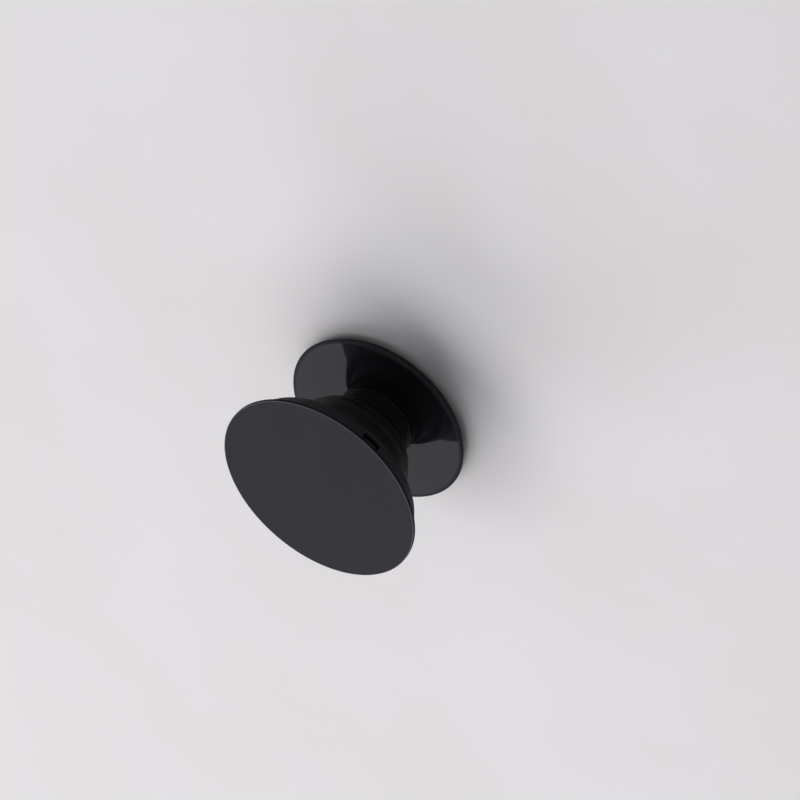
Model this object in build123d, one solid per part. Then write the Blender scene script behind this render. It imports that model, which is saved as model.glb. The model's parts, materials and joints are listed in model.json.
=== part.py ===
"""Collapsible phone grip: a stick-on platform, a soft accordion neck and a snap-fitted cap.

Millimetres. The origin is the centre of the adhesive face, and +Z runs up the grip's axis to the cap.
The grip is modelled fully extended.
"""
from build123d import *
import os

os.makedirs("parts", exist_ok=True)

# Adhesive pad, and how much of it is let into the platform's underside
pad_radius = 15.6
pad_thickness = 0.8
pad_recess_depth = 0.5
pad_clearance = 0.15
pad_border = 1.3

# Base platform: a disc whose side tapers inward towards the surface that it is stuck to.
# Its rim stands just outside the cap shell, which comes down on it when the grip is folded.
platform_thickness = 2.0
platform_rim_margin = 0.25
platform_rim_break = 0.08

# Swivel: the accordion's hollow foot knob turns in the platform's central hole
knob_radius = 5.0
knob_wall = 1.8
knob_hollow_depth = 1.3
knob_head_overhang = 0.7
knob_head_height = 0.6
knob_lead_in = 0.25
knob_head_room = 0.35
knob_end_clearance = 0.1
swivel_clearance = 0.05

# Accordion foot, on the platform
foot_flange_radius = 7.7
foot_flange_height = 0.7
foot_floor = 0.9
stem_wall = 1.2

# Accordion folds: each tier ends in a ring that hangs over a groove, and a thin web joins it to the next.
# The wide tier comes down from the cap to an upright band and narrows again below it. Heights are above
# the platform, and the wall of a tier is measured across.
lower_ring_radius = 8.15
lower_ring_height = 3.0
upper_ring_radius = 10.6
upper_ring_height = 6.25
band_radius = 11.95
band_height = 8.7
band_land = 1.4
ring_lip = 0.6
ring_land = 0.5
ring_break = 0.15
groove_width = 0.5
groove_depth = 0.6
web_thickness = 0.5
tier_wall = 1.25

# Grommet end of the accordion, which grips the lip of the cap shell
shoulder_setback = 0.2
shoulder_height = 0.35
flange_thickness = 0.8
flange_wall = 1.2
grommet_clearance = 0.1
seat_clearance = 0.05

# Cap shell: the tapered rim below the cap plate
neck_height = 16.65
shell_height = 3.15
shell_taper = 1.95
shell_wall = 0.85
shell_lip = 0.65
shell_lip_overlap = 0.7
shell_top_chamfer = 0.2
shell_bottom_break = 0.12

# Snap windows in the cap shell, and the plate's tabs that catch in them
snap_count = 4
first_snap_angle = -90.0
window_width = 3.6
window_bar = 0.25
window_sill = 0.15
tab_width = 2.6
tab_ramp = 0.35
tab_flex_room = 0.35
tab_setback = 0.15
tab_clearance = 0.05

# Cap plate: the face, its edge over the shell, and the spigot that holds the accordion's flange down
plate_radius = 20.0
plate_overhang = 0.15
plate_edge_height = 0.65
plate_edge_break = 0.3
plate_core_thickness = 1.2
spigot_setback = 0.2
spigot_wall = 1.0

# Heights of the faces where the pieces meet
platform_bottom = pad_thickness - pad_recess_depth
platform_top = platform_bottom + platform_thickness
knob_bottom = pad_thickness + knob_end_clearance
knob_head_top = knob_bottom + knob_head_height
foot_bottom = platform_top + seat_clearance
shell_bottom = platform_top + neck_height
shell_ledge = shell_bottom + shell_lip
shell_top = shell_bottom + shell_height
flange_bottom = shell_ledge + seat_clearance
flange_top = flange_bottom + flange_thickness
spigot_bottom = flange_top + seat_clearance
bar_bottom = shell_top - window_bar
plate_top = shell_top + plate_edge_height


# Radii of the outline: the shell follows the plate, and the platform follows the shell and the pad
shell_bottom_radius = plate_radius - plate_overhang - shell_taper
platform_rim_radius = shell_bottom_radius + platform_rim_margin
platform_foot_radius = pad_radius + pad_clearance + pad_border


def shell_outer_radius(height):
    """Radius of the cap shell's tapered outside at a height."""
    return shell_bottom_radius + shell_taper * (height - shell_bottom) / shell_height


def shell_inner_radius(height):
    """Radius of the cap shell's inside at a height above its ledge."""
    return shell_outer_radius(height) - shell_wall


# Radii of the grommet joint between the accordion and the cap shell
flange_radius = shell_inner_radius(shell_ledge) - grommet_clearance
lip_radius = flange_radius - shell_lip_overlap
groove_radius = lip_radius - grommet_clearance
spigot_radius = flange_radius - spigot_setback


def lathe(outline, edge_breaks=()):
    """A solid turned about Z from a closed outline of (radius, height) points.

    Each edge break is a corner of the outline and the size of its chamfer.
    """
    with BuildPart() as turned:
        with BuildSketch(Plane.XZ) as section:
            with BuildLine():
                Polyline(*outline, close=True)
            make_face()
            for corner, size in edge_breaks:
                chamfer(section.vertices().sort_by_distance(corner)[0], size)
        revolve(axis=Axis.Z)
    return turned.part


def snap_angles():
    """Angles about Z of the snap windows, evenly spaced."""
    return [first_snap_angle + i * 360 / snap_count for i in range(snap_count)]


def make_adhesive_pad():
    """Foam disc, sticky on its lower face."""
    return lathe([(0, 0), (pad_radius, 0), (pad_radius, pad_thickness), (0, pad_thickness)])


def make_base_platform():
    """Glossy disc with a recess for the pad below and a stepped hole for the knob."""
    hole = knob_radius + swivel_clearance
    counterbore = knob_radius + knob_head_overhang + knob_head_room
    web_bottom = knob_head_top + seat_clearance
    recess = pad_radius + pad_clearance
    rim = (platform_rim_radius, platform_top)
    outline = [
        (hole, platform_top),
        rim,
        (platform_foot_radius, platform_bottom),
        (recess, platform_bottom),
        (recess, pad_thickness),
        (counterbore, pad_thickness),
        (counterbore, web_bottom),
        (hole, web_bottom),
    ]
    return lathe(outline, [(rim, platform_rim_break)])


def make_accordion():
    """One soft moulding: grommet flange, banded wide tier, fold, narrow tier, fold, foot and snap knob."""
    upper_bottom = platform_top + upper_ring_height
    lower_bottom = platform_top + lower_ring_height
    band_bottom = platform_top + band_height
    band_top = band_bottom + band_land
    wide_top = shell_bottom - seat_clearance - shoulder_height
    wide_end = upper_bottom + ring_land
    narrow_top = upper_bottom + groove_depth
    narrow_end = lower_bottom + ring_land
    stem_top = lower_bottom + groove_depth

    shoulder_radius = shell_bottom_radius - shoulder_setback
    narrow_radius = upper_ring_radius - ring_lip - groove_width
    stem_radius = lower_ring_radius - ring_lip - groove_width
    cone_slope = (shoulder_radius - band_radius) / (wide_top - band_top)
    bowl_slope = (band_radius - upper_ring_radius) / (band_bottom - wide_end)
    narrow_slope = (narrow_radius - lower_ring_radius) / (narrow_top - narrow_end)

    # Outside, from the flange down to the knob
    upper_edge = (upper_ring_radius, upper_bottom)
    lower_edge = (lower_ring_radius, lower_bottom)
    head_radius = knob_radius + knob_head_overhang
    outside = [
        (flange_radius, flange_top),
        (flange_radius, flange_bottom),
        (groove_radius, flange_bottom),
        (groove_radius, shell_bottom - seat_clearance),
        (shoulder_radius, shell_bottom - seat_clearance),
        (shoulder_radius, wide_top),
        (band_radius, band_top),
        (band_radius, band_bottom),
        (upper_ring_radius, wide_end),
        upper_edge,
        (upper_ring_radius - ring_lip, upper_bottom),
        (upper_ring_radius - ring_lip, narrow_top),
        (narrow_radius, narrow_top),
        (lower_ring_radius, narrow_end),
        lower_edge,
        (lower_ring_radius - ring_lip, lower_bottom),
        (lower_ring_radius - ring_lip, stem_top),
        (stem_radius, stem_top),
        (stem_radius, foot_bottom + foot_flange_height),
        (foot_flange_radius, foot_bottom + foot_flange_height),
        (foot_flange_radius, foot_bottom),
        (knob_radius, foot_bottom),
        (knob_radius, knob_head_top),
        (head_radius, knob_head_top),
        (head_radius, knob_bottom + knob_lead_in),
        (head_radius - knob_lead_in, knob_bottom),
    ]

    # Inside, from the hollow of the knob up to the flange
    mouth_radius = groove_radius - flange_wall
    inner_band = band_radius - tier_wall
    upper_web = narrow_top + web_thickness
    lower_web = stem_top + web_thickness
    inside = [
        (knob_radius - knob_wall, knob_bottom),
        (knob_radius - knob_wall, knob_bottom + knob_hollow_depth),
        (0, knob_bottom + knob_hollow_depth),
        (0, foot_bottom + foot_floor),
        (stem_radius - stem_wall, foot_bottom + foot_floor),
        (stem_radius - stem_wall, lower_web),
        (lower_ring_radius - tier_wall + narrow_slope * (lower_web - narrow_end), lower_web),
        (narrow_radius - tier_wall + narrow_slope * web_thickness, upper_web),
        (inner_band - bowl_slope * (band_bottom - upper_web), upper_web),
        (inner_band, band_bottom),
        (inner_band, band_top),
        (mouth_radius, band_top + (mouth_radius - inner_band) / cone_slope),
        (mouth_radius, flange_top),
    ]
    return lathe(outside + inside, [(upper_edge, ring_break), (lower_edge, ring_break)])


def make_cap_shell():
    """Tapered rim with an inward lip that the accordion grips, and a row of snap windows."""
    bottom_edge = (shell_bottom_radius, shell_bottom)
    chamfer_bottom = shell_top - shell_top_chamfer
    outline = [
        (shell_inner_radius(shell_top), shell_top),
        (shell_outer_radius(shell_top) - shell_top_chamfer, shell_top),
        (shell_outer_radius(chamfer_bottom), chamfer_bottom),
        bottom_edge,
        (lip_radius, shell_bottom),
        (lip_radius, shell_ledge),
        (shell_inner_radius(shell_ledge), shell_ledge),
    ]
    rim = lathe(outline, [(bottom_edge, shell_bottom_break)])
    window_bottom = shell_ledge + window_sill
    window = Pos(plate_radius, 0, (window_bottom + bar_bottom) / 2) * Box(
        2 * (plate_radius - lip_radius), window_width, bar_bottom - window_bottom
    )
    return rim - [Rot(0, 0, angle) * window for angle in snap_angles()]


def make_snap_tab():
    """A tab on the plate's spigot, with a catch that sits in a window below the window's bar."""
    root_radius = spigot_radius - spigot_wall / 2
    root_top = shell_top + plate_edge_height / 2
    stem_radius = shell_inner_radius(bar_bottom) - tab_flex_room
    catch_top = bar_bottom - tab_clearance
    tab_bottom = spigot_bottom + tab_clearance
    ramp_top = tab_bottom + tab_ramp
    with BuildPart() as tab:
        with BuildSketch(Plane.XZ):
            with BuildLine():
                Polyline(
                    (root_radius, root_top),
                    (stem_radius, root_top),
                    (stem_radius, catch_top),
                    (shell_outer_radius(catch_top) - tab_setback, catch_top),
                    (shell_outer_radius(ramp_top) - tab_setback, ramp_top),
                    (stem_radius - tab_ramp, tab_bottom),
                    (root_radius, tab_bottom),
                    close=True,
                )
            make_face()
        extrude(amount=tab_width / 2, both=True)
    return tab.part


def make_cap_plate():
    """The face disc, its broken edge, its spigot and its snap tabs, as one moulding."""
    face_edge = (plate_radius, plate_top)
    core_bottom = plate_top - plate_core_thickness
    outline = [
        (0, plate_top),
        face_edge,
        (plate_radius, shell_top),
        (spigot_radius, shell_top),
        (spigot_radius, spigot_bottom),
        (spigot_radius - spigot_wall, spigot_bottom),
        (spigot_radius - spigot_wall, core_bottom),
        (0, core_bottom),
    ]
    disc = lathe(outline, [(face_edge, plate_edge_break)])
    tab = make_snap_tab()
    return disc + [Rot(0, 0, angle) * tab for angle in snap_angles()]


export_step(make_adhesive_pad(), "parts/adhesive_pad.step")
export_step(make_base_platform(), "parts/base_platform.step")
export_step(make_accordion(), "parts/accordion.step")
export_step(make_cap_shell(), "parts/cap_shell.step")
export_step(make_cap_plate(), "parts/cap_plate.step")
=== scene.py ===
"""Looks of the collapsible phone grip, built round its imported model.

Shapes are worked out in millimetres, in the model's own frame, and written to their meshes in metres.
"""
import json

import bpy
import numpy as np
from mathutils import Matrix, Vector


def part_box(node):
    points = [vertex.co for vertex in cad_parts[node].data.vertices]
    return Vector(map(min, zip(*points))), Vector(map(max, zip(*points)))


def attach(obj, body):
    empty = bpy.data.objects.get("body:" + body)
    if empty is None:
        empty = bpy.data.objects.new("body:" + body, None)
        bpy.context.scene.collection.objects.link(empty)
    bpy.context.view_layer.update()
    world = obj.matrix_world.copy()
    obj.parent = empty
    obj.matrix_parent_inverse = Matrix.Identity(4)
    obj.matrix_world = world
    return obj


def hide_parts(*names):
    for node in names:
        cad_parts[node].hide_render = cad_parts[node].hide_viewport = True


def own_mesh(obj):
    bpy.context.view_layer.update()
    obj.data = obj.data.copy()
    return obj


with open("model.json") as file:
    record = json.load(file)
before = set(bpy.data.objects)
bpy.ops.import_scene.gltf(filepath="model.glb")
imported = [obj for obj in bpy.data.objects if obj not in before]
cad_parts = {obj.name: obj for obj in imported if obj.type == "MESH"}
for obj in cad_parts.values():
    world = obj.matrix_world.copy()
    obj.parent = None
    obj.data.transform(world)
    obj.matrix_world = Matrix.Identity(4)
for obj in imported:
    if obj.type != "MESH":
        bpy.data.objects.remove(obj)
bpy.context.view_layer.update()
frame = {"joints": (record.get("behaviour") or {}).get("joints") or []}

MM = 0.001

# Columns round the axis, points on each edge round, and how far a flat holds before its round
COLUMNS = 240
ROUND_STEPS = 6
FLAT_HOLD = 0.03

# Rounds of hard and of soft edges, the bevel of cut edges, and the width in which a finish, the painted
# bevel highlight and the painted side shade change
EDGE_ROUND = 0.06
SOFT_ROUND = 0.15
BEVEL_WIDTH = 0.05
BEVEL_STEPS = 2
SHARP_ANGLE = 40.0
EDGE_FADE = 0.06

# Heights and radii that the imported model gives
PAD_LOW, PAD_HIGH = (np.array(corner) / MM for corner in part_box("adhesive_pad"))
BASE_LOW, BASE_HIGH = (np.array(corner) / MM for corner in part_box("base_platform"))
NECK_LOW, NECK_HIGH = (np.array(corner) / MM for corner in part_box("accordion"))
SHELL_LOW, SHELL_HIGH = (np.array(corner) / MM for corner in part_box("cap_shell"))
PLATE_LOW, PLATE_HIGH = (np.array(corner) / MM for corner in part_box("cap_plate"))

# Base platform and adhesive pad. The rim's corner is where side and top face meet before their round
FOOT_RADIUS = 17.05
FOOT_ROUND = 0.09
RIM_CORNER = 18.5
RIM_ROUND = 0.3
POLISH_RADIUS = 17.9
POLISH_FADE = 0.65
PAD_CLEARANCE = 0.15
PAD_EDGE_ROUND = 0.2

# Snap knob under the accordion's foot, and the hole it turns in
KNOB_RADIUS = 5.0
KNOB_HEAD_RADIUS = 5.7
KNOB_HOLLOW_RADIUS = 3.2
KNOB_HOLLOW_DEPTH = 1.3
KNOB_HEAD_HEIGHT = 0.6
KNOB_ROUND = 0.2
SWIVEL_CLEARANCE = 0.05
HEAD_ROOM = 0.35

# Accordion: foot, two folds, the band of the wide tier and the shoulder under the cap
FOOT_FLANGE_RADIUS = 7.7
FOOT_FLANGE_HEIGHT = 0.7
FOOT_FLOOR = 0.9
STEM_WALL = 1.2
LOWER_RING_RADIUS = 8.15
LOWER_RING_HEIGHT = 3.0
UPPER_RING_RADIUS = 10.6
UPPER_RING_HEIGHT = 6.25
BAND_RADIUS = 11.95
BAND_HEIGHT = 8.7
BAND_LAND = 1.4
BAND_ROUND = 2.2
RING_LIP = 0.6
RING_LAND = 0.5
RING_ROUND = 0.24
GROOVE_WIDTH = 0.5
GROOVE_DEPTH = 0.6
WEB_THICKNESS = 0.5
TIER_WALL = 1.25
SHOULDER_HEIGHT = 0.35
FLANGE_WALL = 1.2
FLANGE_THICKNESS = 0.8
SEAT_CLEARANCE = 0.05
CUT_GAP = 0.01

# Cap shell and its snap windows
SHELL_BOTTOM_RADIUS = 17.9
SHELL_TOP_RADIUS = 19.85
SHELL_WALL = 0.85
SHELL_LIP = 0.65
SHELL_LIP_OVERLAP = 0.7
SHELL_TOP_CHAMFER = 0.2
GROMMET_CLEARANCE = 0.1
WINDOW_COUNT = 4
FIRST_WINDOW_ANGLE = -90.0
WINDOW_WIDTH = 3.6
WINDOW_BAR = 0.25
WINDOW_SILL = 0.15
WINDOW_COLUMNS = 8
SIDE_COLUMNS = COLUMNS // WINDOW_COUNT // 2

# Cap plate, its spigot and its tabs
PLATE_EDGE_ROUND = 0.14
PLATE_CORE = 1.2
SPIGOT_SETBACK = 0.2
SPIGOT_WALL = 1.0
TAB_WIDTH = 2.0
TAB_RAMP = 0.35
TAB_FLEX_ROOM = 0.35
TAB_SETBACK = 0.15
TAB_CLEARANCE = 0.05

# Floor
FLOOR_RADIUS = 1500.0
FLOOR_THICKNESS = 5.0

# Camera: where it stands about its aim, as the photograph was taken, and its lens
CAMERA_AIM = (-0.6701, -2.34, -3.0124)
CAMERA_DISTANCE = 559.313
CAMERA_AZIMUTH = 5.442
CAMERA_ELEVATION = 37.358
CAMERA_ROLL = -139.7875
CAMERA_LENS = 136.809
CAMERA_SENSOR = 36.0

# Light: the key's place about the object, sizes and power, the low glow behind, the fill and the backdrop
KEY_AZIMUTH = 0.5
KEY_ELEVATION = 61.3
KEY_DISTANCE = 1800.0
KEY_WIDTH = 2570.0
KEY_DEPTH = 985.0
KEY_POWER = 22.0
GLOW_DIRECTION = (-0.175, 0.981, 0.087)
GLOW_START = 0.79
GLOW_FULL = 0.885
GLOW_COLOUR = (5.8, 5.75, 5.9, 1.0)
FILL_COLOUR = (0.2, 0.2, 0.21, 1.0)
BACKDROP_COLOUR = (0.65, 0.63, 0.68, 1.0)


# Mesh tools


def rounded_runs(corners):
    """Points for each of some corners (radius, height, round), turned by a tangent arc.

    With unit vectors u and v from the corner to its neighbours and h half the angle between them, the arc
    of radius q is centred q / sin h along the bisector and meets the sides q / tan h from the corner. A
    point just outside each end of the arc keeps the flat beside it flat.
    """
    points = np.array(corners, float)[:, :2]
    runs = []
    for k, (_, _, q) in enumerate(corners):
        corner = points[k]
        if q == 0:
            runs.append(corner[None])
            continue
        u = points[k - 1] - corner
        v = points[(k + 1) % len(points)] - corner
        u /= np.linalg.norm(u)
        v /= np.linalg.norm(v)
        half = np.arccos(np.clip(u @ v, -1, 1)) / 2
        reach = q / np.tan(half)
        bisector = (u + v) / np.linalg.norm(u + v)
        centre = corner + bisector * q / np.sin(half)
        turn = np.pi - 2 * half
        share = np.linspace(0, 1, ROUND_STEPS)[:, None]
        first = corner + u * reach - centre
        last = corner + v * reach - centre
        arc = centre + (np.sin((1 - share) * turn) * first + np.sin(share * turn) * last) / np.sin(turn)
        runs.append(np.vstack([corner + u * (reach + FLAT_HOLD), arc, corner + v * (reach + FLAT_HOLD)]))
    return runs


def rounded(corners):
    """Outline through corners (radius, height, round), as one array of points."""
    return np.vstack(rounded_runs(corners))


def add_piece(name, vertices, faces, body, slot, material, node):
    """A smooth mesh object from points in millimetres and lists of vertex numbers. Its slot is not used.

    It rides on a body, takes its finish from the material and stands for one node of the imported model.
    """
    mesh = bpy.data.meshes.new(name)
    mesh.from_pydata((np.asarray(vertices) * MM).tolist(), [], faces)
    mesh.polygons.foreach_set("use_smooth", np.ones(len(mesh.polygons), bool))
    mesh.materials.append(material)
    mesh.update()
    piece = bpy.data.objects.new(name, mesh)
    bpy.context.scene.collection.objects.link(piece)
    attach(piece, body)
    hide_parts(node)
    return piece


def grid_faces(index, wrap_rows):
    """Quads between neighbours in a grid of vertex numbers, whose columns close on themselves.

    Going round first and then along the outline, a quad faces away from the axis where the outline rises.
    """
    low = index if wrap_rows else index[:-1]
    high = np.roll(index, -1, axis=0) if wrap_rows else index[1:]
    return np.stack([low, np.roll(low, -1, axis=1), np.roll(high, -1, axis=1), high], axis=-1)


def turned(outline):
    """Surface of revolution: each outline point (r, z) goes round the axis as (r cos a, r sin a, z).

    An outline that starts and ends on the axis has its end points shared by all columns, as poles.
    Otherwise the outline closes on itself, as a ring.
    """
    on_axis = outline[0, 0] == 0
    angle = np.linspace(0, 2 * np.pi, COLUMNS, endpoint=False)
    body = outline[1:-1] if on_axis else outline
    radius = body[:, :1]
    height = np.broadcast_to(body[:, 1:], (len(body), COLUMNS))
    vertices = np.stack([radius * np.cos(angle), radius * np.sin(angle), height], axis=-1).reshape(-1, 3)
    index = np.arange(len(vertices)).reshape(len(body), COLUMNS)
    faces = grid_faces(index, wrap_rows=not on_axis).reshape(-1, 4).tolist()
    if on_axis:
        poles = [[0, 0, outline[0, 1]], [0, 0, outline[-1, 1]]]
        first, last = len(vertices), len(vertices) + 1
        vertices = np.vstack([vertices, poles])
        start, end = index[0], index[-1]
        faces += np.stack([np.full(COLUMNS, first), np.roll(start, -1), start], axis=-1).tolist()
        faces += np.stack([end, np.roll(end, -1), np.full(COLUMNS, last)], axis=-1).tolist()
    return vertices, faces


def soften_edges(piece):
    """Round the edges of a piece that are still sharp."""
    bevel = piece.modifiers.new("edge_round", "BEVEL")
    bevel.width = BEVEL_WIDTH * MM
    bevel.segments = BEVEL_STEPS
    bevel.limit_method = "ANGLE"
    bevel.angle_limit = np.radians(SHARP_ANGLE)
    bevel.harden_normals = True


# Shader arithmetic


class Wire:
    """An output socket. Arithmetic between wires and numbers adds Math nodes to the same tree."""

    def __init__(self, tree, socket):
        self.tree = tree
        self.socket = socket

    def node(self, kind, settings=None, inputs=None, output=0):
        """Add a node, set its settings, then set or link its sockets, and return one of its outputs."""
        added = self.tree.nodes.new(kind)
        for key, value in (settings or {}).items():
            setattr(added, key, value)
        for key, value in (inputs or {}).items():
            if isinstance(value, Wire):
                self.tree.links.new(value.socket, added.inputs[key])
            else:
                added.inputs[key].default_value = value
        return Wire(self.tree, added.outputs[output])

    def math(self, operation, *values):
        """A Math node on up to three values."""
        return self.node("ShaderNodeMath", {"operation": operation}, dict(enumerate(values)))

    def __add__(self, other):
        return self.math("ADD", self, other)

    def __sub__(self, other):
        return self.math("SUBTRACT", self, other)

    def __rsub__(self, other):
        return self.math("SUBTRACT", other, self)

    def __mul__(self, other):
        return self.math("MULTIPLY", self, other)

    __radd__ = __add__
    __rmul__ = __mul__

    def ramp(self, low, high):
        """0 below low, 1 above high, smooth between."""
        settings = {"interpolation_type": "SMOOTHSTEP"}
        return self.node("ShaderNodeMapRange", settings, {"Value": self, "From Min": low, "From Max": high})

    def blend(self, dark, light):
        """A colour between two colours, by this wire's value."""
        settings = {"data_type": "RGBA"}
        return self.node("ShaderNodeMix", settings, {"Factor": self, "A": dark, "B": light}, "Result")


def rgb(red, green, blue):
    """Linear colour with alpha, from 8-bit display values."""
    display = np.array([red, green, blue]) / 255
    linear = np.where(display <= 0.04045, display / 12.92, ((display + 0.055) / 1.055) ** 2.4)
    return (*linear.tolist(), 1.0)


def new_material(name):
    """An empty node material with its Principled shader, and a wire that starts its tree."""
    material = bpy.data.materials.new(name)
    material.use_nodes = True
    shader = material.node_tree.nodes["Principled BSDF"]
    place = Wire(material.node_tree, None).node("ShaderNodeTexCoord", output="Object")
    return material, shader, place


def noise(place, size, detail=3.0, roughness=0.55):
    """Fractal noise over Object coordinates, with features about size millimetres across."""
    inputs = {"Vector": place, "Scale": 1 / (size * MM), "Detail": detail, "Roughness": roughness}
    return place.node("ShaderNodeTexNoise", None, inputs, "Fac")


def connect(place, shader, **sockets):
    """Link wires to a shader's sockets, named with underscores for spaces."""
    for key, wire in sockets.items():
        place.tree.links.new(wire.socket, shader.inputs[key.replace("_", " ")])


def bump(height, depth, strength):
    """A normal from a height of depth millimetres."""
    inputs = {"Height": height, "Distance": depth * MM, "Strength": strength}
    return height.node("ShaderNodeBump", None, inputs)


def axis_distance(place):
    """Distance from the axis and height, from Object coordinates."""
    x, y, z = (place.node("ShaderNodeSeparateXYZ", None, {"Vector": place}, axis) for axis in "XYZ")
    square = x * x + y * y
    return square.math("SQRT", square), z


# Finishes


def charcoal_face():
    """Printed matte face: even charcoal with a fine eggshell grain, a painted highlight on the bevel and
    painted shade on the side.
    """
    material, shader, place = new_material("charcoal_face")
    radius, height = axis_distance(place)
    # Painted highlight: the bevel ring is painted paler, standing in for light caught by the rounded edge.
    edge = PLATE_HIGH[0] - PLATE_EDGE_ROUND
    bevel = radius.ramp((edge - EDGE_FADE) * MM, (edge + EDGE_FADE) * MM)
    # Painted shade: the side below the bevel is painted near-black for the shadow of the parting gap under
    # the plate.
    side = PLATE_HIGH[2] - PLATE_EDGE_ROUND
    above = height.ramp((side - EDGE_FADE) * MM, (side + EDGE_FADE) * MM)
    cloud = noise(place, size=9.0)
    grain = noise(place, size=0.14, detail=2.0)
    tone = (cloud * 0.5 + grain * 0.5).ramp(0.3, 0.7)
    face = tone.blend(rgb(41, 40, 46), rgb(44, 43, 49))
    shader.inputs["Specular IOR Level"].default_value = 0.06
    connect(
        place,
        shader,
        Base_Color=above.blend(rgb(20, 21, 23), bevel.blend(face, rgb(100, 95, 106))),
        Roughness=0.7 + 0.1 * grain,
        Normal=bump(grain, depth=0.004, strength=0.3),
    )
    return material


def rim_plastic():
    """Moulded black rim with a fine spark-eroded grain."""
    material, shader, place = new_material("rim_plastic")
    grain = noise(place, size=0.2, detail=4.0)
    cloud = noise(place, size=4.0)
    shader.inputs["Specular IOR Level"].default_value = 0.03
    connect(
        place,
        shader,
        Base_Color=cloud.ramp(0.3, 0.7).blend(rgb(31, 32, 35), rgb(36, 37, 40)),
        Roughness=0.55 + 0.12 * grain,
        Normal=bump(grain, depth=0.012, strength=0.5),
    )
    return material


def soft_elastomer():
    """Soft black elastomer of the accordion: satin, with a faint bloom in patches."""
    material, shader, place = new_material("soft_elastomer")
    bloom = noise(place, size=3.0, detail=4.0)
    grain = noise(place, size=0.25)
    shader.inputs["Specular IOR Level"].default_value = 0.13
    connect(
        place,
        shader,
        Base_Color=bloom.ramp(0.35, 0.75).blend(rgb(18, 19, 21), rgb(23, 24, 27)),
        Roughness=0.42 + 0.14 * bloom,
        Normal=bump(grain, depth=0.008, strength=0.35),
    )
    return material


def gloss_black():
    """Black plastic of the platform: satin, with a polish on the top face that fades out at the rim.

    The polish is a clear coat, dulled a little by faint smears. The satin side and rim are painted a lighter
    grey than the top: partly the plastic's own tone, partly painted sheen, as they have no specular.
    """
    material, shader, place = new_material("gloss_black")
    radius, height = axis_distance(place)
    inside = radius.ramp(POLISH_RADIUS * MM, (POLISH_RADIUS - POLISH_FADE) * MM)
    upper = height.ramp((BASE_HIGH[2] - EDGE_FADE) * MM, BASE_HIGH[2] * MM)
    polish = inside * upper
    grain = noise(place, size=0.2, detail=4.0)
    smear = noise(place, size=2.0, detail=5.0)
    # Painted sheen: the lighter grey of the unpolished side and rim stands in for the reflection they lack
    # without specular.
    satin = grain.ramp(0.3, 0.7).blend(rgb(55, 55, 59), rgb(61, 61, 65))
    mirror = smear.ramp(0.3, 0.7).blend(rgb(29, 29, 33), rgb(33, 33, 37))
    shader.inputs["Specular IOR Level"].default_value = 0.0
    shader.inputs["Coat Roughness"].default_value = 0.04
    connect(
        place,
        shader,
        Base_Color=polish.blend(satin, mirror),
        Roughness=0.45 + 0.1 * smear,
        Coat_Weight=polish * (1 - 0.08 * smear.ramp(0.4, 0.8)),
        Normal=bump(grain * (1 - polish), depth=0.012, strength=0.5),
    )
    return material


def foam_adhesive():
    """Dark closed-cell foam of the pad, with fine cells."""
    material, shader, place = new_material("foam_adhesive")
    cell_size = 0.35
    inputs = {"Vector": place, "Scale": 1 / (cell_size * MM)}
    cells = place.node("ShaderNodeTexVoronoi", None, inputs, "Distance")
    shader.inputs["Specular IOR Level"].default_value = 0.3
    connect(
        place,
        shader,
        Base_Color=cells.ramp(0.1, 0.7).blend(rgb(26, 26, 28), rgb(46, 46, 48)),
        Roughness=0.75 + 0.15 * cells,
        Normal=bump(cells, depth=0.03, strength=0.6),
    )
    return material


def floor_paper():
    """Pale matte floor."""
    material, shader, place = new_material("floor_paper")
    cloud = noise(place, size=60.0)
    shader.inputs["Roughness"].default_value = 0.9
    shader.inputs["Specular IOR Level"].default_value = 0.1
    connect(place, shader, Base_Color=cloud.ramp(0.3, 0.7).blend(rgb(226, 223, 224), rgb(229, 227, 228)))
    return material


# Pieces


def shell_outer(height):
    """Radius of the shell's tapered outside at a height."""
    share = (height - SHELL_LOW[2]) / (SHELL_HIGH[2] - SHELL_LOW[2])
    return SHELL_BOTTOM_RADIUS + share * (SHELL_TOP_RADIUS - SHELL_BOTTOM_RADIUS)


def shell_inner(height):
    """Radius of the inside of the shell's wall at a height."""
    return shell_outer(height) - SHELL_WALL


def flange_radius():
    """Radius of the accordion's grommet flange, inside the shell's wall."""
    return shell_inner(SHELL_LOW[2] + SHELL_LIP) - GROMMET_CLEARANCE


def groove_radius():
    """Radius of the grommet's groove, inside the shell's lip."""
    return flange_radius() - SHELL_LIP_OVERLAP - GROMMET_CLEARANCE


def add_adhesive_pad(material):
    """Foam disc with softly rounded edges."""
    radius, top = PAD_HIGH[0], PAD_HIGH[2]
    outline = rounded(
        [
            (0, 0, 0),
            (radius, 0, PAD_EDGE_ROUND),
            (radius, top, PAD_EDGE_ROUND),
            (0, top, 0),
        ]
    )
    add_piece("pad", *turned(outline), "base", "adhesive", material, "adhesive_pad")


def add_platform(material):
    """Polished disc with a tapered side, a stepped hole for the knob and a recess for the pad."""
    low, high = BASE_LOW[2], BASE_HIGH[2]
    hole = KNOB_RADIUS + SWIVEL_CLEARANCE
    counterbore = KNOB_HEAD_RADIUS + HEAD_ROOM
    web_low = NECK_LOW[2] + KNOB_HEAD_HEIGHT + SEAT_CLEARANCE
    recess = PAD_HIGH[0] + PAD_CLEARANCE
    outline = rounded(
        [
            (hole, high, EDGE_ROUND),
            (hole, web_low, EDGE_ROUND),
            (counterbore, web_low, EDGE_ROUND),
            (counterbore, PAD_HIGH[2], EDGE_ROUND),
            (recess, PAD_HIGH[2], EDGE_ROUND),
            (recess, low, EDGE_ROUND),
            (FOOT_RADIUS, low, FOOT_ROUND),
            (RIM_CORNER, high, RIM_ROUND),
        ]
    )
    add_piece("platform", *turned(outline), "base", "gloss_black", material, "base_platform")


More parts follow.
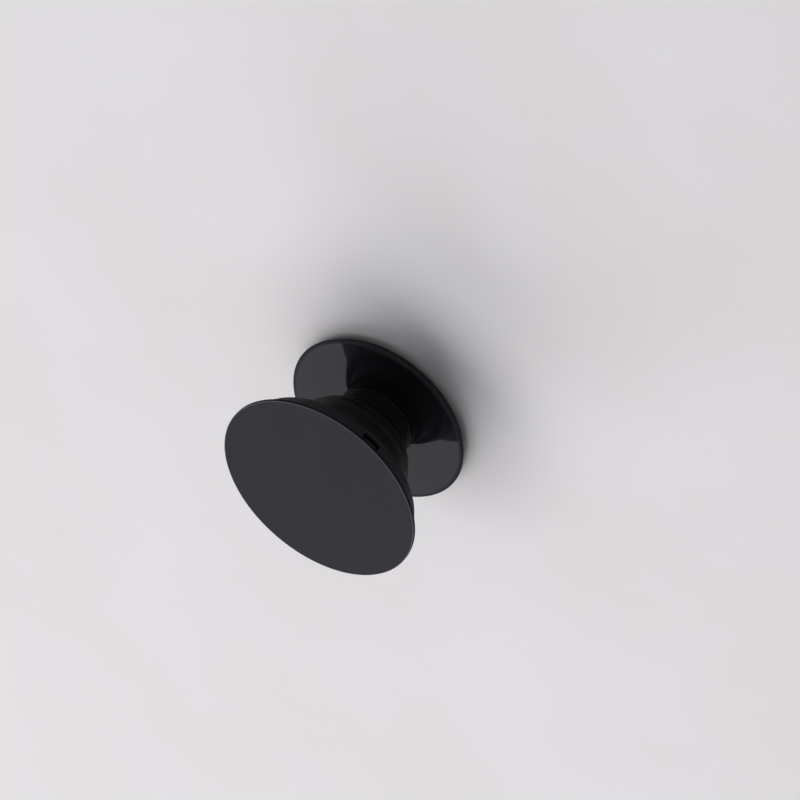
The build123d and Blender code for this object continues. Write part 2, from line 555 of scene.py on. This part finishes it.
def add_bellows(material):
    """The folding part of the accordion, one hollow turning: foot, narrow tier, wide tier, shoulder."""
    base_top = BASE_HIGH[2]
    foot = base_top + SEAT_CLEARANCE
    foot_flange = foot + FOOT_FLANGE_HEIGHT
    lower = base_top + LOWER_RING_HEIGHT
    upper = base_top + UPPER_RING_HEIGHT
    band_low = base_top + BAND_HEIGHT
    band_high = band_low + BAND_LAND
    shoulder_top = SHELL_LOW[2] - SEAT_CLEARANCE - CUT_GAP
    shoulder = NECK_HIGH[0]
    wide_top = shoulder_top - SHOULDER_HEIGHT
    wide_end = upper + RING_LAND
    narrow_top = upper + GROOVE_DEPTH
    narrow_end = lower + RING_LAND
    stem_top = lower + GROOVE_DEPTH
    upper_lip = UPPER_RING_RADIUS - RING_LIP
    lower_lip = LOWER_RING_RADIUS - RING_LIP
    narrow = upper_lip - GROOVE_WIDTH
    stem = lower_lip - GROOVE_WIDTH
    cone_slope = (shoulder - BAND_RADIUS) / (wide_top - band_high)
    bowl_slope = (BAND_RADIUS - UPPER_RING_RADIUS) / (band_low - wide_end)
    narrow_slope = (narrow - LOWER_RING_RADIUS) / (narrow_top - narrow_end)
    upper_web = narrow_top + WEB_THICKNESS
    lower_web = stem_top + WEB_THICKNESS
    groove = groove_radius()
    mouth = groove - FLANGE_WALL
    inner_band = BAND_RADIUS - TIER_WALL
    inner_cone = band_high + (mouth - inner_band) / cone_slope
    inner_bowl = inner_band - bowl_slope * (band_low - upper_web)
    inner_upper = narrow - TIER_WALL + narrow_slope * WEB_THICKNESS
    inner_lower = LOWER_RING_RADIUS - TIER_WALL + narrow_slope * (lower_web - narrow_end)
    inner_stem = stem - STEM_WALL
    floor_top = foot + FOOT_FLOOR
    outline = rounded(
        [
            (0, foot, 0),
            (FOOT_FLANGE_RADIUS, foot, SOFT_ROUND),
            (FOOT_FLANGE_RADIUS, foot_flange, SOFT_ROUND),
            (stem, foot_flange, SOFT_ROUND),
            (stem, stem_top, SOFT_ROUND),
            (lower_lip, stem_top, SOFT_ROUND),
            (lower_lip, lower, SOFT_ROUND),
            (LOWER_RING_RADIUS, lower, RING_ROUND),
            (LOWER_RING_RADIUS, narrow_end, RING_ROUND),
            (narrow, narrow_top, SOFT_ROUND),
            (upper_lip, narrow_top, SOFT_ROUND),
            (upper_lip, upper, SOFT_ROUND),
            (UPPER_RING_RADIUS, upper, RING_ROUND),
            (UPPER_RING_RADIUS, wide_end, RING_ROUND),
            (BAND_RADIUS, band_low, BAND_ROUND),
            (BAND_RADIUS, band_high, BAND_ROUND),
            (shoulder, wide_top, SOFT_ROUND / 2),
            (shoulder, shoulder_top, SOFT_ROUND / 2),
            (groove, shoulder_top, 0),
            (mouth, shoulder_top, 0),
            (mouth, inner_cone, SOFT_ROUND),
            (inner_band, band_high, SOFT_ROUND),
            (inner_band, band_low, SOFT_ROUND),
            (inner_bowl, upper_web, SOFT_ROUND),
            (inner_upper, upper_web, SOFT_ROUND),
            (inner_lower, lower_web, SOFT_ROUND),
            (inner_stem, lower_web, SOFT_ROUND),
            (inner_stem, floor_top, SOFT_ROUND),
            (0, floor_top, 0),
        ]
    )
    bellows = add_piece("accordion_bellows", *turned(outline), "neck", "soft_black", material, "accordion")
    collapse = next(joint for joint in frame["joints"] if joint["name"] == "collapse")
    travel = -collapse["range_m"][0] / MM
    keep = 1 - travel / (shoulder_top - foot)
    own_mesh(bellows)


def add_flange(material):
    """The grommet end of the accordion, which grips the shell's lip and moves with the cap."""
    low = SHELL_LOW[2] - SEAT_CLEARANCE
    high = NECK_HIGH[2]
    ledge = high - FLANGE_THICKNESS
    groove = groove_radius()
    mouth = groove - FLANGE_WALL
    outline = rounded(
        [
            (mouth, low, 0),
            (groove, low, 0),
            (groove, ledge, EDGE_ROUND),
            (flange_radius(), ledge, SOFT_ROUND),
            (flange_radius(), high, SOFT_ROUND),
            (mouth, high, SOFT_ROUND),
        ]
    )
    add_piece("accordion_flange", *turned(outline), "cap", "soft_black", material, "accordion")


def add_knob(material):
    """The hollow snap knob under the accordion's foot, which turns in the platform's hole."""
    low = NECK_LOW[2]
    foot = BASE_HIGH[2] + SEAT_CLEARANCE
    head_top = low + KNOB_HEAD_HEIGHT
    hollow_top = low + KNOB_HOLLOW_DEPTH
    outline = rounded(
        [
            (0, hollow_top, 0),
            (KNOB_HOLLOW_RADIUS, hollow_top, KNOB_ROUND),
            (KNOB_HOLLOW_RADIUS, low, KNOB_ROUND),
            (KNOB_HEAD_RADIUS, low, KNOB_ROUND),
            (KNOB_HEAD_RADIUS, head_top, EDGE_ROUND),
            (KNOB_RADIUS, head_top, EDGE_ROUND),
            (KNOB_RADIUS, foot, 0),
            (0, foot, 0),
        ]
    )
    add_piece("accordion_knob", *turned(outline), "neck", "soft_black", material, "accordion")


def window_angles():
    """Angles of the windows' middles about the axis, in radians."""
    return np.radians(FIRST_WINDOW_ANGLE + np.arange(WINDOW_COUNT) * 360 / WINDOW_COUNT)


def shell_section():
    """Section of the shell's wall and lip, in runs. Runs 2, 3, 7 and 8 are the edges of the windows."""
    low, high = SHELL_LOW[2], SHELL_HIGH[2]
    ledge = low + SHELL_LIP
    window_low = ledge + WINDOW_SILL
    window_high = high - WINDOW_BAR
    chamfer_low = high - SHELL_TOP_CHAMFER
    lip = flange_radius() - SHELL_LIP_OVERLAP
    return rounded_runs(
        [
            (lip, low, EDGE_ROUND),
            (SHELL_BOTTOM_RADIUS, low, EDGE_ROUND * 2),
            (shell_outer(window_low), window_low, 0),
            (shell_outer(window_high), window_high, 0),
            (shell_outer(chamfer_low), chamfer_low, EDGE_ROUND / 2),
            (SHELL_TOP_RADIUS - SHELL_TOP_CHAMFER, high, EDGE_ROUND),
            (shell_inner(high), high, EDGE_ROUND),
            (shell_inner(window_high), window_high, 0),
            (shell_inner(window_low), window_low, 0),
            (shell_inner(ledge), ledge, EDGE_ROUND / 2),
            (lip, ledge, EDGE_ROUND),
        ]
    )


def shell_sector(radius):
    """Angles of the columns of one window's sector, at each radius r of a section.

    The columns crowd so that the window's edges lie on planes parallel to its middle: they stand
    asin(half width / r) from it. The sides of the sector are divided evenly.
    """
    half_sector = np.pi / WINDOW_COUNT
    edge = np.arcsin(WINDOW_WIDTH / 2 / radius)
    side = np.linspace(0, 1, SIDE_COLUMNS, endpoint=False)
    middle = np.linspace(-1, 1, WINDOW_COLUMNS + 1)
    left = -half_sector + (half_sector - edge) * side
    right = half_sector - (half_sector - edge) * side[::-1]
    return np.hstack([left, edge * middle, right[:, :-1]])


def add_shell(material):
    """Tapered rim with an inward lip and a row of snap windows.

    The section goes round the axis as a closed loop. The wall's quads inside a window are left out, and
    quads across the wall close its four sides.
    """
    runs = shell_section()
    starts = np.cumsum([0] + [len(run) for run in runs[:-1]])
    outline = np.vstack(runs)
    radius = outline[:, :1]
    sector = shell_sector(radius)
    angle = (sector[:, None, :] + window_angles()[None, :, None]).reshape(len(outline), -1)
    height = np.broadcast_to(outline[:, 1:], angle.shape)
    vertices = np.stack([radius * np.cos(angle), radius * np.sin(angle), height], axis=-1).reshape(-1, 3)
    index = np.arange(len(vertices)).reshape(angle.shape)
    quads = grid_faces(index, wrap_rows=True)

    out_low, out_high, in_high, in_low = starts[2], starts[3], starts[7], starts[8]
    first = SIDE_COLUMNS + sector.shape[1] * np.arange(WINDOW_COUNT)
    inside = (first[:, None] + np.arange(WINDOW_COLUMNS)).ravel()
    keep = np.ones(quads.shape[:2], bool)
    keep[out_low, inside] = False
    keep[in_high, inside] = False

    def across(row_a, row_b):
        """Quads between two rows in the windows' columns."""
        a, b = index[row_a], index[row_b]
        return np.stack([a[inside], a[inside + 1], b[inside + 1], b[inside]], axis=-1)

    corners = index[[out_low, out_high, in_high, in_low]]
    faces = quads[keep].tolist()
    faces += across(out_low, in_low).tolist()
    faces += across(in_high, out_high).tolist()
    faces += corners[:, first].T.tolist()
    faces += corners[::-1, first + WINDOW_COLUMNS].T.tolist()
    shell = add_piece("shell", vertices, faces, "cap", "rim_black", material, "cap_shell")
    soften_edges(shell)


def snap_tabs():
    """Catches on the plate's spigot: a section extruded along the rim, and turned to each window."""
    spigot = flange_radius() - SPIGOT_SETBACK
    bar = SHELL_HIGH[2] - WINDOW_BAR
    stem = shell_inner(bar) - TAB_FLEX_ROOM
    catch_top = bar - TAB_CLEARANCE
    tab_low = PLATE_LOW[2] + TAB_CLEARANCE
    ramp_top = tab_low + TAB_RAMP
    root = spigot - SPIGOT_WALL / 2
    section = np.array(
        [
            (root, SHELL_HIGH[2] + TAB_CLEARANCE),
            (root, tab_low),
            (stem - TAB_RAMP, tab_low),
            (shell_outer(ramp_top) - TAB_SETBACK, ramp_top),
            (shell_outer(catch_top) - TAB_SETBACK, catch_top),
            (stem, catch_top),
            (stem, SHELL_HIGH[2] + TAB_CLEARANCE),
        ]
    )
    count = len(section)
    along = np.repeat([-TAB_WIDTH / 2, TAB_WIDTH / 2], count)
    reach = np.tile(section[:, 0], 2)
    height = np.tile(section[:, 1], 2)
    turn = window_angles()[:, None]
    x = reach * np.cos(turn) - along * np.sin(turn)
    y = reach * np.sin(turn) + along * np.cos(turn)
    vertices = np.stack([x, y, np.broadcast_to(height, x.shape)], axis=-1).reshape(-1, 3)
    step = np.arange(count)
    sides = np.stack([step, np.roll(step, -1), np.roll(step, -1) + count, step + count], axis=-1)
    offsets = 2 * count * np.arange(WINDOW_COUNT)[:, None]
    faces = (sides[None, :, ::-1] + offsets[:, :, None]).reshape(-1, 4).tolist()
    faces += (step + offsets).tolist()
    faces += (step[::-1] + count + offsets).tolist()
    return vertices, faces


def add_plate(material):
    """Face disc with a rounded edge, its spigot and its snap tabs."""
    top, radius = PLATE_HIGH[2], PLATE_HIGH[0]
    joint = SHELL_HIGH[2]
    spigot = flange_radius() - SPIGOT_SETBACK
    outline = rounded(
        [
            (0, top - PLATE_CORE, 0),
            (spigot - SPIGOT_WALL, top - PLATE_CORE, SOFT_ROUND),
            (spigot - SPIGOT_WALL, PLATE_LOW[2], EDGE_ROUND),
            (spigot, PLATE_LOW[2], EDGE_ROUND),
            (spigot, joint, EDGE_ROUND),
            (radius, joint, EDGE_ROUND),
            (radius, top, PLATE_EDGE_ROUND),
            (0, top, 0),
        ]
    )
    vertices, faces = turned(outline)
    tab_vertices, tab_faces = snap_tabs()
    faces += [[k + len(vertices) for k in face] for face in tab_faces]
    plate = add_piece(
        "plate", np.vstack([vertices, tab_vertices]), faces, "cap", "charcoal", material, "cap_plate"
    )
    soften_edges(plate)


# Stage, camera and light


def add_floor(material):
    """A wide pale disc under the object."""
    corners = [(0, -FLOOR_THICKNESS), (FLOOR_RADIUS, -FLOOR_THICKNESS), (FLOOR_RADIUS, 0), (0, 0)]
    vertices, faces = turned(np.array(corners))
    mesh = bpy.data.meshes.new("floor")
    mesh.from_pydata((vertices * MM).tolist(), [], faces)
    mesh.materials.append(material)
    floor = bpy.data.objects.new("floor", mesh)
    bpy.context.scene.collection.objects.link(floor)


def add_camera():
    """Camera on a sphere round its aim, rolled about its line of sight as the photograph is."""
    azimuth, elevation, roll = np.radians([CAMERA_AZIMUTH, CAMERA_ELEVATION, CAMERA_ROLL])
    back = np.array(
        [np.sin(azimuth) * np.cos(elevation), -np.cos(azimuth) * np.cos(elevation), np.sin(elevation)]
    )
    level = np.array([np.cos(azimuth), np.sin(azimuth), 0])
    upright = np.cross(back, level)
    right = np.cos(roll) * level + np.sin(roll) * upright
    up = np.cos(roll) * upright - np.sin(roll) * level
    data = bpy.data.cameras.new("camera")
    data.lens = CAMERA_LENS
    data.sensor_width = CAMERA_SENSOR
    camera = bpy.data.objects.new("camera", data)
    bpy.context.scene.collection.objects.link(camera)
    matrix = np.eye(4)
    matrix[:3, :3] = np.stack([right, up, back], axis=-1)
    matrix[:3, 3] = (np.array(CAMERA_AIM) + CAMERA_DISTANCE * back) * MM
    camera.matrix_world = Matrix(matrix.tolist())
    bpy.context.scene.camera = camera


def add_world():
    """A glow low behind the object and a dim fill all round.

    Each direction is weighed by its dot product with the glow's. The camera and reflections see a plain pale
    backdrop in the world's place.
    """
    world = bpy.data.worlds.new("studio")
    world.use_nodes = True
    bpy.context.scene.world = world
    tree = world.node_tree
    background = tree.nodes["Background"]
    direction = Wire(tree, None).node("ShaderNodeTexCoord", output="Generated")
    inputs = {0: direction, 1: GLOW_DIRECTION}
    towards = direction.node("ShaderNodeVectorMath", {"operation": "DOT_PRODUCT"}, inputs, "Value")
    lighting = towards.ramp(GLOW_START, GLOW_FULL).blend(FILL_COLOUR, GLOW_COLOUR)
    rays = ("Is Camera Ray", "Is Glossy Ray", "Is Transmission Ray")
    camera, glossy, through = (direction.node("ShaderNodeLightPath", output=ray) for ray in rays)
    seen = direction.math("MAXIMUM", direction.math("MAXIMUM", camera, glossy), through)
    tree.links.new(seen.blend(lighting, BACKDROP_COLOUR).socket, background.inputs["Color"])


def add_key():
    """A wide soft key from behind and above, facing the object."""
    data = bpy.data.lights.new("key", "AREA")
    data.shape = "RECTANGLE"
    data.size = KEY_WIDTH * MM
    data.size_y = KEY_DEPTH * MM
    data.energy = KEY_POWER
    key = bpy.data.objects.new("key", data)
    bpy.context.scene.collection.objects.link(key)
    azimuth, elevation = np.radians([KEY_AZIMUTH, KEY_ELEVATION])
    aside, behind = np.sin(azimuth) * np.cos(elevation), np.cos(azimuth) * np.cos(elevation)
    place = Vector((aside, behind, np.sin(elevation))) * KEY_DISTANCE * MM
    key.location = place
    key.rotation_euler = place.to_track_quat("Z", "Y").to_euler()


soft = soft_elastomer()

add_adhesive_pad(foam_adhesive())
add_platform(gloss_black())
add_knob(soft)
add_bellows(soft)
add_flange(soft)
add_shell(rim_plastic())
add_plate(charcoal_face())
add_floor(floor_paper())
add_camera()
add_world()
add_key()
bpy.context.scene.view_settings.view_transform = "Standard"
